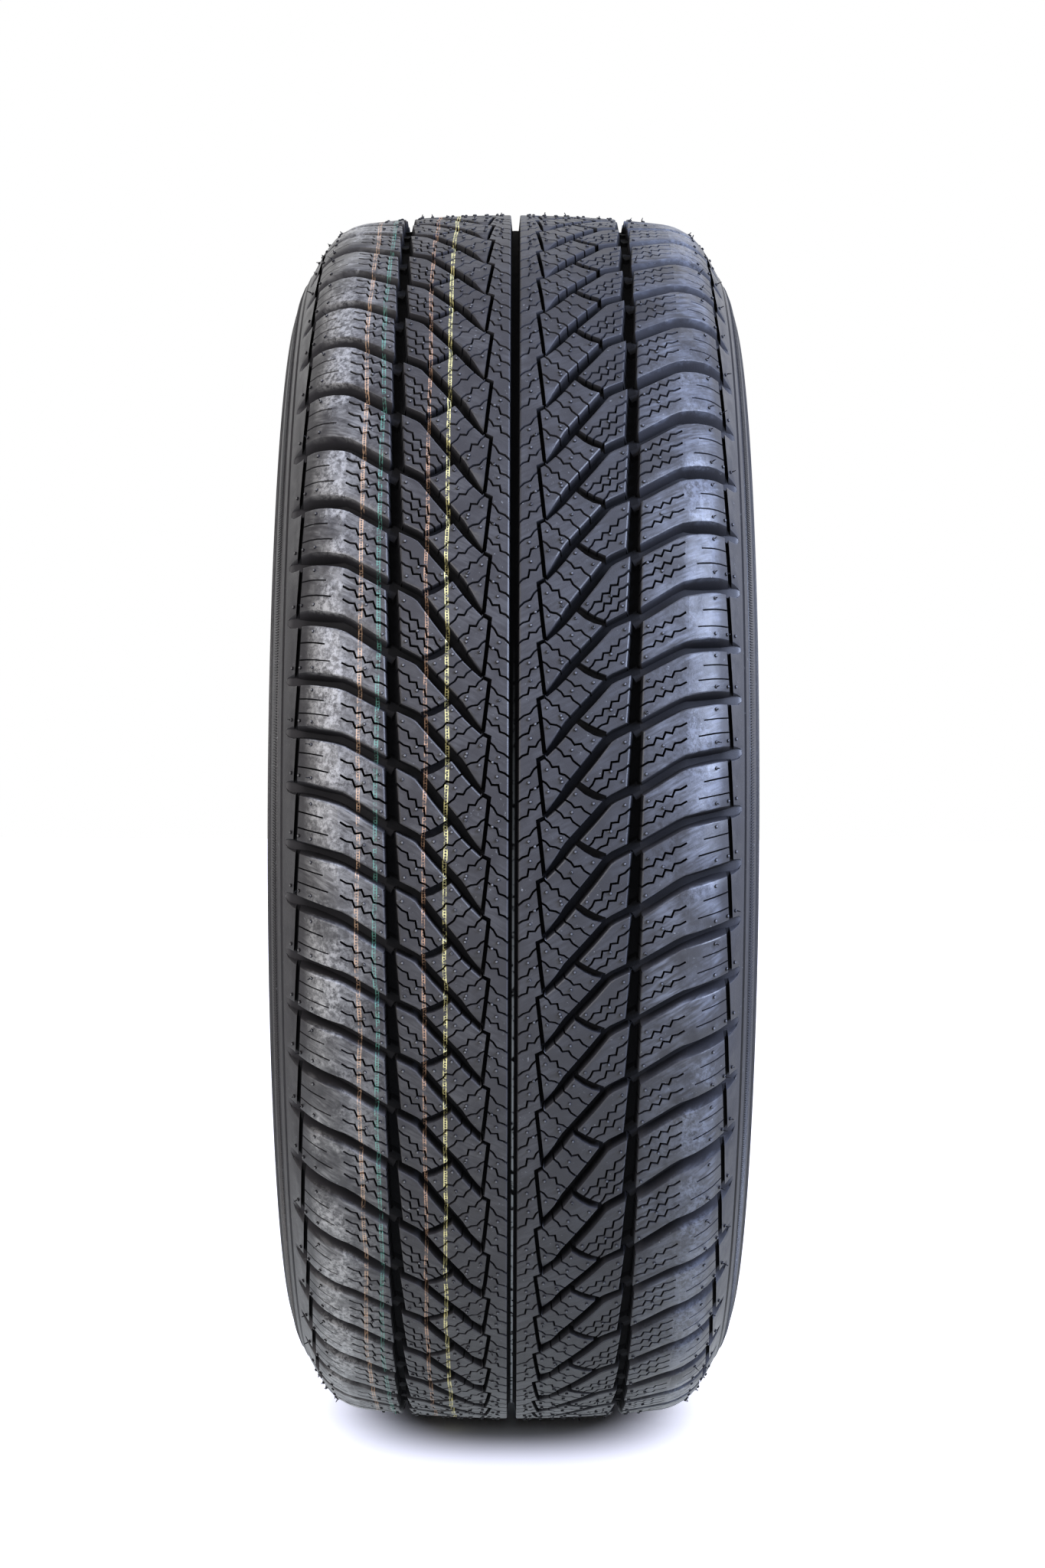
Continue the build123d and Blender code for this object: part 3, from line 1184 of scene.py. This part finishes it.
pitch_sheets = {kind: PitchSheet(kind) for kind in pitch_ratio}
rubber = rubber_material()
body_pieces = [
    make_carcass(),
    make_tread("tread_right", pitch_sheets, 1, 0.0),
    make_tread("tread_left", pitch_sheets, -1, left_side_lag),
]
lit_pieces = bpy.data.collections.new("lit_pieces")
for piece in body_pieces:
    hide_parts("tyre")
for piece in body_pieces + [make_ridges(), make_spews()]:
    piece.data.materials.append(rubber)
    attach(piece, "root")
    lit_pieces.objects.link(piece)

# Floor, in metres, which glows softly: painted light, left out under the tyre to shape its shadow
floor_reach = 6.0
floor_clouds = Pattern(3.0, 2.0, 0.5, 0.2, 0.8)
floor_colours = ((0.93, 0.935, 0.96, 1), (0.96, 0.96, 0.975, 1))
floor_roughness = 0.7
floor_specular = 0.2
floor_glow_colour = (0.80, 0.82, 1.0, 1)
floor_glow_strength = 1.2

# Shadow under the tyre, partly painted by leaving out the floor's glow there: its half sizes in metres,
# how square it is, and where it starts and ends
shadow_reach = {"X": 0.12, "Y": 0.084}
shadow_squareness = 2.4
shadow_edges = (0.62, 1.4)


def make_floor():
    """Pale floor whose painted glow leaves out a partly painted shadow under the tyre, tints that
    shadow's fringe bluish, and falls on the floor alone.
    """
    low, high, height = -floor_reach, floor_reach, floor_height * MM
    corners = [(low, low, height), (high, low, height), (high, high, height), (low, high, height)]
    floor = placed("floor", new_mesh("floor", corners, [(0, 1, 2, 3)]))
    material = bpy.data.materials.new("floor")
    shading = Shading(material, "Principled BSDF")
    place, parts = shading.coordinates("Object")
    shading.give("Base Color", shading.blend(shading.pattern(place, floor_clouds), *floor_colours))
    shading.give("Roughness", floor_roughness)
    shading.give("Specular IOR Level", floor_specular)
    powers = []
    for axis, size in shadow_reach.items():
        share = shading.math("ABSOLUTE", shading.math("DIVIDE", parts[axis], size))
        powers.append(shading.math("POWER", share, shadow_squareness))
    clear = shading.math("POWER", shading.total(*powers), 1 / shadow_squareness)
    glow = shading.product(shading.ramp(clear, *shadow_edges), floor_glow_strength)
    shading.give("Emission Color", floor_glow_colour)
    shading.give("Emission Strength", glow)
    floor.data.materials.append(material)
    glow_receivers = bpy.data.collections.new("floor_glow")
    glow_receivers.objects.link(floor)
    floor.light_linking.receiver_collection = glow_receivers


def area_light(name, place, aim, width, height, power, colour, lit=None):
    """Soft light that points at an aim, on everything or on one collection alone."""
    light = bpy.data.lights.new(name, "AREA")
    light.shape = "RECTANGLE"
    light.size = width
    light.size_y = height
    light.energy = power
    light.color = colour
    lamp = placed(name, light)
    lamp.location = place
    lamp.rotation_euler = (Vector(aim) - Vector(place)).to_track_quat("-Z", "Y").to_euler()
    lamp.visible_camera = False
    lamp.light_linking.receiver_collection = lit


# Camera: in metres and radians, its lens and sensor in millimetres, its shift in pixels
camera_elevation = math.radians(2.5)
camera_distance = 1.791
camera_roll = 0.0035
camera_lens = 76.76
camera_sensor = 36.0
camera_shift = (11.1, 42.8)
photo_height = 2048


def make_camera():
    """Camera that faces the tread from a little above the axis."""
    data = bpy.data.cameras.new("camera")
    data.sensor_width = camera_sensor
    data.lens = camera_lens
    data.shift_x = camera_shift[0] / photo_height
    data.shift_y = camera_shift[1] / photo_height
    camera = placed("camera", data)
    forward, upward = math.cos(camera_elevation), math.sin(camera_elevation)
    camera.location = (camera_distance * forward, 0, camera_distance * upward)
    camera.rotation_euler = (math.pi / 2 - camera_elevation, -camera_roll, math.pi / 2)
    bpy.context.scene.camera = camera


# Backdrop: the forward part of a direction where it starts and is full, and how bright the room is
backdrop_edges = (-0.25, -0.85)
room_strength = 0.4


def make_world():
    """White backdrop, which lights the tyre from behind, in a room that is dimmer elsewhere."""
    world = bpy.data.worlds.new("world")
    shading = Shading(world, "Background")
    direction, parts = shading.coordinates("Generated")
    backdrop = shading.product(shading.ramp(parts["X"], *backdrop_edges), 1 - room_strength)
    seen = shading.node("ShaderNodeLightPath").outputs["Is Camera Ray"]
    shading.give("Strength", shading.largest(seen, shading.total(backdrop, room_strength)))
    shading.give("Color", (1, 1, 1, 1))
    bpy.context.scene.world = world


# Lights: name, place, aim, width, height, power, colour, and what they light if not everything.
# The low one lies just above the floor and shines up.
wheel_centre = (0.0, 0.0, 0.0)
low_light_lift = 0.005
low_place, low_aim = (0.75, 0.0, floor_height * MM + low_light_lift), (0.75, 0.0, 1.0)
lights = [
    ("top", (0.7, 0.0, 2.3), wheel_centre, 2.0, 2.0, 5, (1.0, 1.0, 1.0)),
    ("left", (1.75, -1.35, 0.7), wheel_centre, 0.9, 2.0, 46, (1.0, 0.97, 0.95), lit_pieces),
    ("right", (1.05, 1.65, 0.95), wheel_centre, 1.3, 1.6, 178, (0.62, 0.72, 0.98), lit_pieces),
    ("low", low_place, low_aim, 1.6, 1.0, 4.0, (0.86, 0.93, 1.0), lit_pieces),
]

make_floor()
for light in lights:
    area_light(*light)
make_world()
bpy.context.scene.view_settings.view_transform = "Standard"
make_camera()
